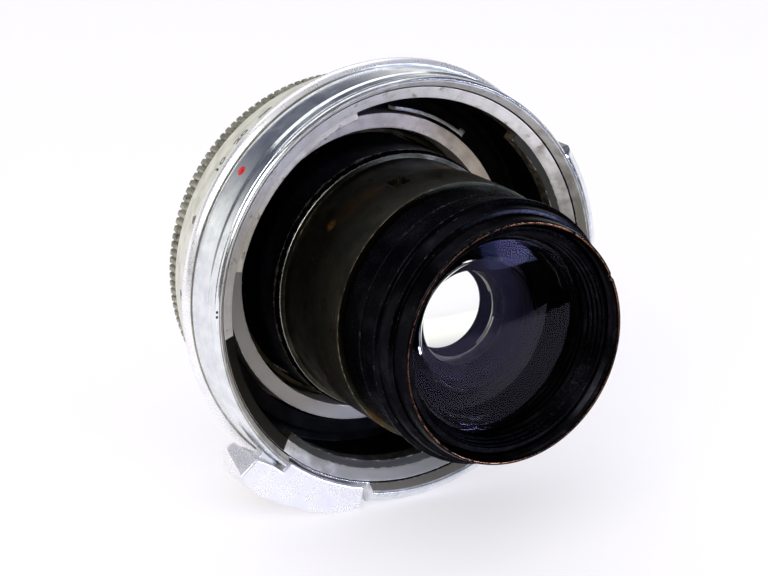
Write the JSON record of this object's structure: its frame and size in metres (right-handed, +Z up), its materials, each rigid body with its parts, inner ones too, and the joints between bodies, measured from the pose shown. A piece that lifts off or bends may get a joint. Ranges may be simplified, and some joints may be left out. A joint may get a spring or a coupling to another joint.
{
  "type": "camera lens",
  "caption": "Wide-angle camera lens with an outer bayonet ring, deep rear barrel, knurled focusing ring, iris and lock lever, lying on its side.",
  "frame": {"origin": "on the table, under the centre of the lens as it lies on its side", "axes": "+Y along the optical axis towards the front of the lens, +Z up, +X to the right as seen from the rear"},
  "size_m": [0.0505, 0.0406, 0.0505],
  "materials": {
    "chrome_shell": "polished",
    "satin_scale": "satin, engraved",
    "grip_alloy": "fine straight knurl",
    "worn_steel": "worn",
    "raw_alloy": "rough raw metal",
    "olive_brass": "oxidised, dark",
    "bare_brass": "machined",
    "black_alloy": "black anodised satin",
    "optical_glass": "coated",
    "red_enamel": "gloss"
  },
  "bodies": {
    "mount": {"mount_shell": "chrome_shell", "bayonet_ring": "worn_steel", "index_dot": "red_enamel", "lever_pin": "worn_steel", "lever_spring": "worn_steel", "helicoid_housing": "black_alloy", "housing_screw_1": "worn_steel", "housing_screw_2": "worn_steel", "housing_screw_3": "worn_steel", "stop_pin_far": "worn_steel", "stop_pin_near": "worn_steel", "guide_key": "worn_steel"},
    "focus_group": {"scale_ring": "satin_scale", "grip_ring": "grip_alloy", "focus_nut": "raw_alloy", "coupling_ring": "bare_brass", "focus_screw_1": "worn_steel", "focus_screw_2": "worn_steel", "focus_screw_3": "worn_steel"},
    "optical_block": {"main_barrel": "olive_brass", "helicoid_sleeve": "bare_brass", "rear_cell": "black_alloy", "rear_retainer": "black_alloy", "rear_glass": "optical_glass", "rear_doublet_outer": "optical_glass", "rear_doublet_inner": "optical_glass", "iris_plate": "black_alloy", "iris_cover": "black_alloy", "front_cell": "black_alloy", "front_doublet_inner": "optical_glass", "front_doublet_outer": "optical_glass", "front_spacer": "black_alloy", "front_glass": "optical_glass", "front_bezel": "black_alloy", "filter_rim": "satin_scale"},
    "aperture_group": {"cam_ring": "bare_brass", "drive_rod": "worn_steel", "aperture_ring": "black_alloy"},
    "lever": {"lock_lever": "chrome_shell"},
    "blade_1": {"iris_blade_1": "worn_steel"},
    "blade_2": {"iris_blade_2": "worn_steel"},
    "blade_3": {"iris_blade_3": "worn_steel"},
    "blade_4": {"iris_blade_4": "worn_steel"},
    "blade_5": {"iris_blade_5": "worn_steel"}
  },
  "joints": [
    {"name": "focus_turn", "type": "hinge", "parent": "mount", "child": "focus_group", "pos_m": [0, 0, 0.02529], "axis": [0, -1, 0], "range_deg": [-183, 17]},
    {"name": "focus_travel", "type": "slide", "parent": "mount", "child": "optical_block", "axis": [0, 1, 0], "range_m": [-0.00011, 0.00116]},
    {"name": "aperture_turn", "type": "hinge", "parent": "optical_block", "child": "aperture_group", "pos_m": [0, 0, 0.02529], "axis": [0, -1, 0], "range_deg": [0, 45]},
    {"name": "lever_rock", "type": "hinge", "parent": "mount", "child": "lever", "pos_m": [-0.01799, 0, 0.00665], "axis": [0, 1, 0], "range_deg": [0, 6], "stiffness_Nm_per_rad": 0.05, "springref_deg": -8.59},
    {"name": "blade_1_swing", "type": "hinge", "parent": "optical_block", "child": "blade_1", "pos_m": [0, 0, 0.03449], "axis": [0, -1, 0], "range_deg": [0, 28.5]},
    {"name": "blade_2_swing", "type": "hinge", "parent": "optical_block", "child": "blade_2", "pos_m": [-0.00875, 0, 0.02813], "axis": [0, -1, 0], "range_deg": [0, 28.5]},
    {"name": "blade_3_swing", "type": "hinge", "parent": "optical_block", "child": "blade_3", "pos_m": [-0.00541, 0, 0.01784], "axis": [0, -1, 0], "range_deg": [0, 28.5]},
    {"name": "blade_4_swing", "type": "hinge", "parent": "optical_block", "child": "blade_4", "pos_m": [0.00541, 0, 0.01784], "axis": [0, -1, 0], "range_deg": [0, 28.5]},
    {"name": "blade_5_swing", "type": "hinge", "parent": "optical_block", "child": "blade_5", "pos_m": [0.00875, 0, 0.02813], "axis": [0, -1, 0], "range_deg": [0, 28.5]}
  ],
  "couplings": [
    {"joint": "focus_turn", "follows": "focus_travel", "rad_per_m": -2747.2},
    {"joint": "blade_1_swing", "follows": "aperture_turn", "ratio": 0.62222},
    {"joint": "blade_2_swing", "follows": "aperture_turn", "ratio": 0.62222},
    {"joint": "blade_3_swing", "follows": "aperture_turn", "ratio": 0.62222},
    {"joint": "blade_4_swing", "follows": "aperture_turn", "ratio": 0.62222},
    {"joint": "blade_5_swing", "follows": "aperture_turn", "ratio": 0.62222}
  ]
}
